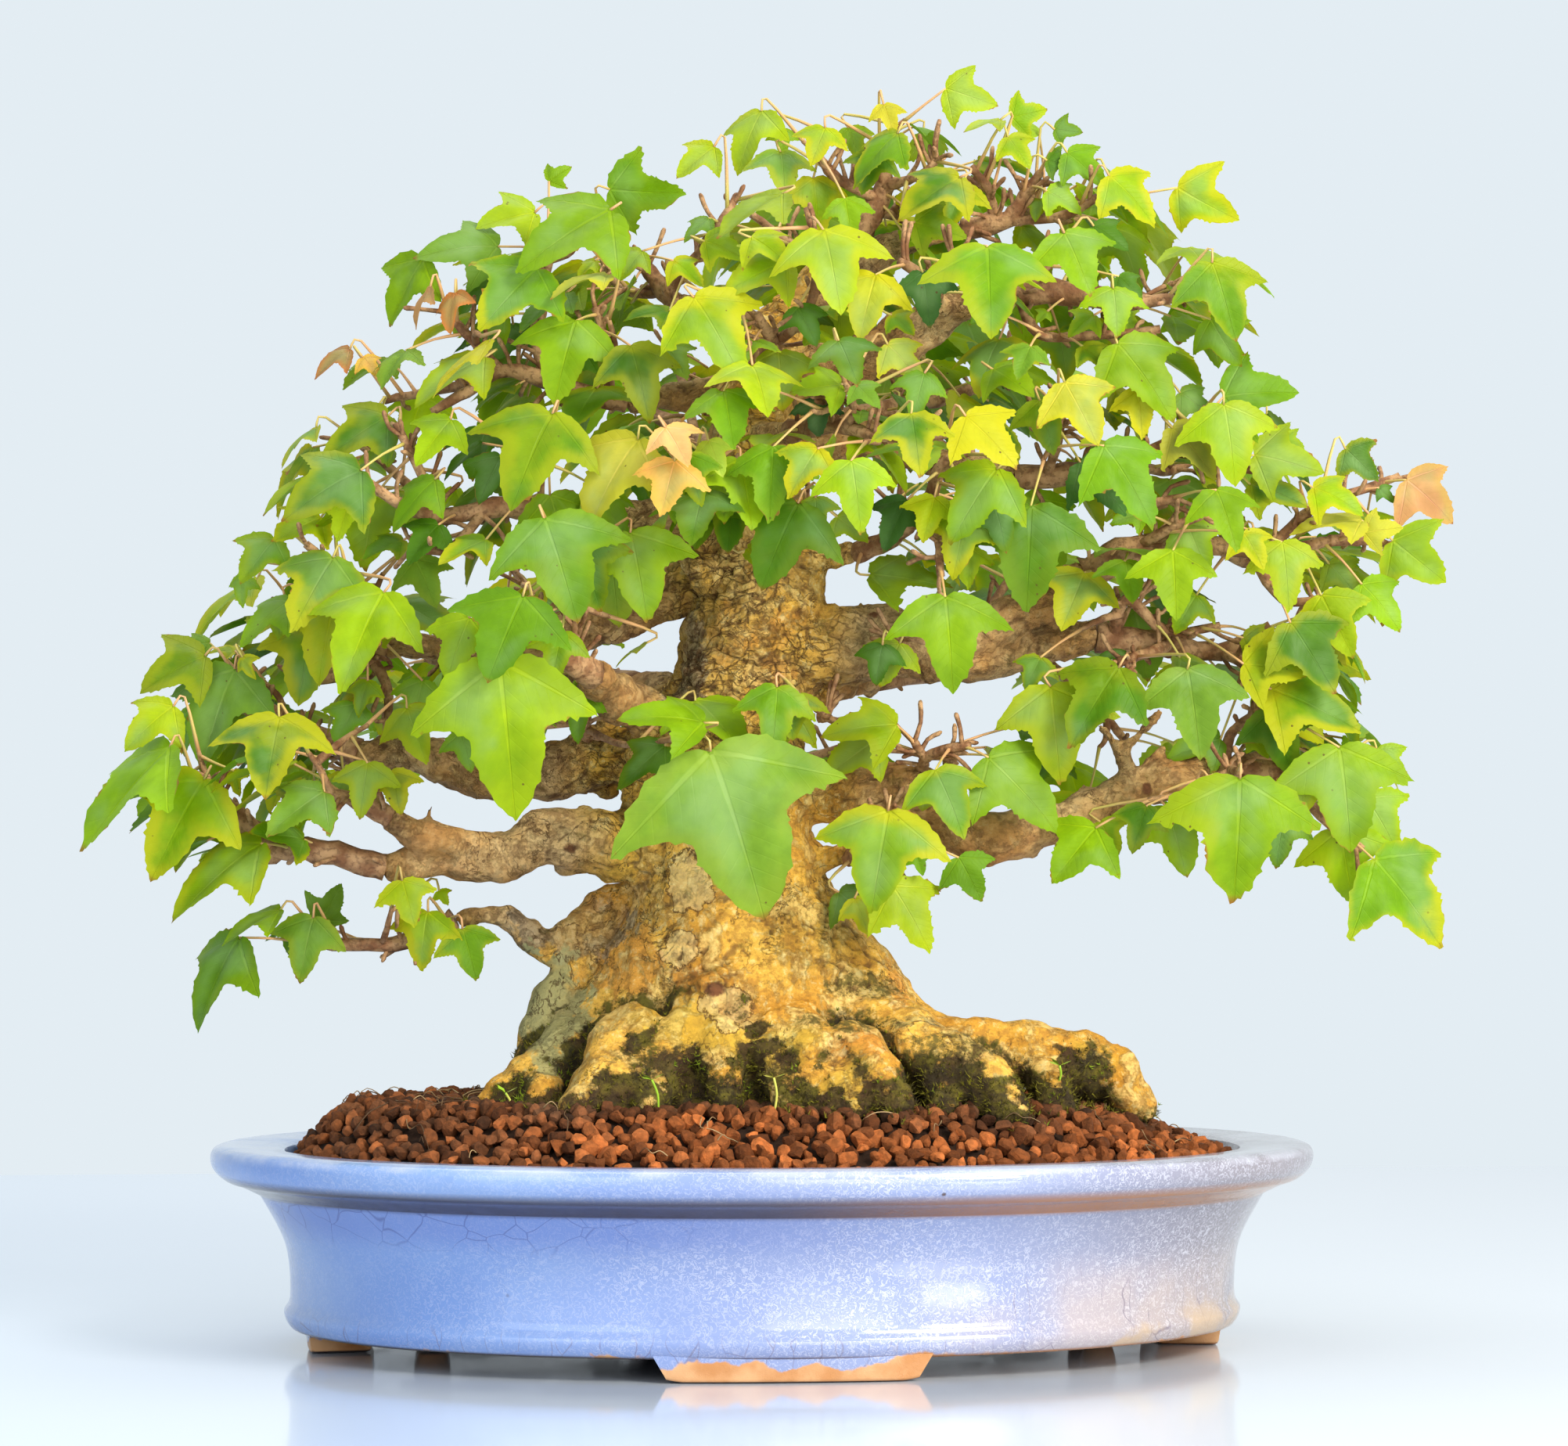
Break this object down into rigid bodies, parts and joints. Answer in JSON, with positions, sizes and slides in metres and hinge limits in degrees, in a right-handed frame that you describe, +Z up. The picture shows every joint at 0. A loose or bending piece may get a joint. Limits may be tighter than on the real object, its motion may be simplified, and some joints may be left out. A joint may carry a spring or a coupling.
{
  "type": "trident maple bonsai",
  "caption": "Informal upright miniature maple with a flared root base and layered leafy branches, growing from a soil mound in a wide, low, oval glazed pot on short feet.",
  "frame": {"origin": "bottom centre of the bounding box, on the surface the pot's feet stand on", "axes": "+X along the pot's long side, to the right as seen from the front; +Y towards the back; +Z up"},
  "size_m": [0.4324, 0.288, 0.4062],
  "materials": {
    "glaze": "gloss",
    "soil": "matte",
    "bark": "matte",
    "leaf": "satin",
    "mesh": "matte"
  },
  "bodies": {
    "root": {"pot": "glaze", "drain_mesh_left": "mesh", "drain_mesh_right": "mesh", "soil": "soil", "trunk": "bark", "spray_left_low": "leaf", "spray_left_tip": "leaf", "spray_left_mid": "leaf", "spray_left_far": "leaf", "spray_left_high": "leaf", "spray_left_shoulder": "leaf", "spray_front_left": "leaf", "spray_front_shoot": "leaf", "spray_trunk_shoot": "leaf", "spray_top_left": "leaf", "spray_crown_left": "leaf", "spray_crown_front": "leaf", "spray_front_upper": "leaf", "spray_front_centre": "leaf", "spray_crown_top": "leaf", "spray_crown_right": "leaf", "spray_right_upper": "leaf", "spray_upper_inner": "leaf", "spray_right_rear": "leaf", "spray_right_high": "leaf", "spray_right_mid": "leaf", "spray_right_low": "leaf", "spray_right_inner": "leaf", "spray_right_cut": "leaf", "spray_right_under": "leaf", "spray_front_right": "leaf", "spray_back_left": "leaf", "spray_back_right": "leaf", "spray_back_upper": "leaf", "spray_back_upper_right": "leaf", "spray_back_crown": "leaf", "spray_back_low": "leaf"}
  },
  "joints": []
}
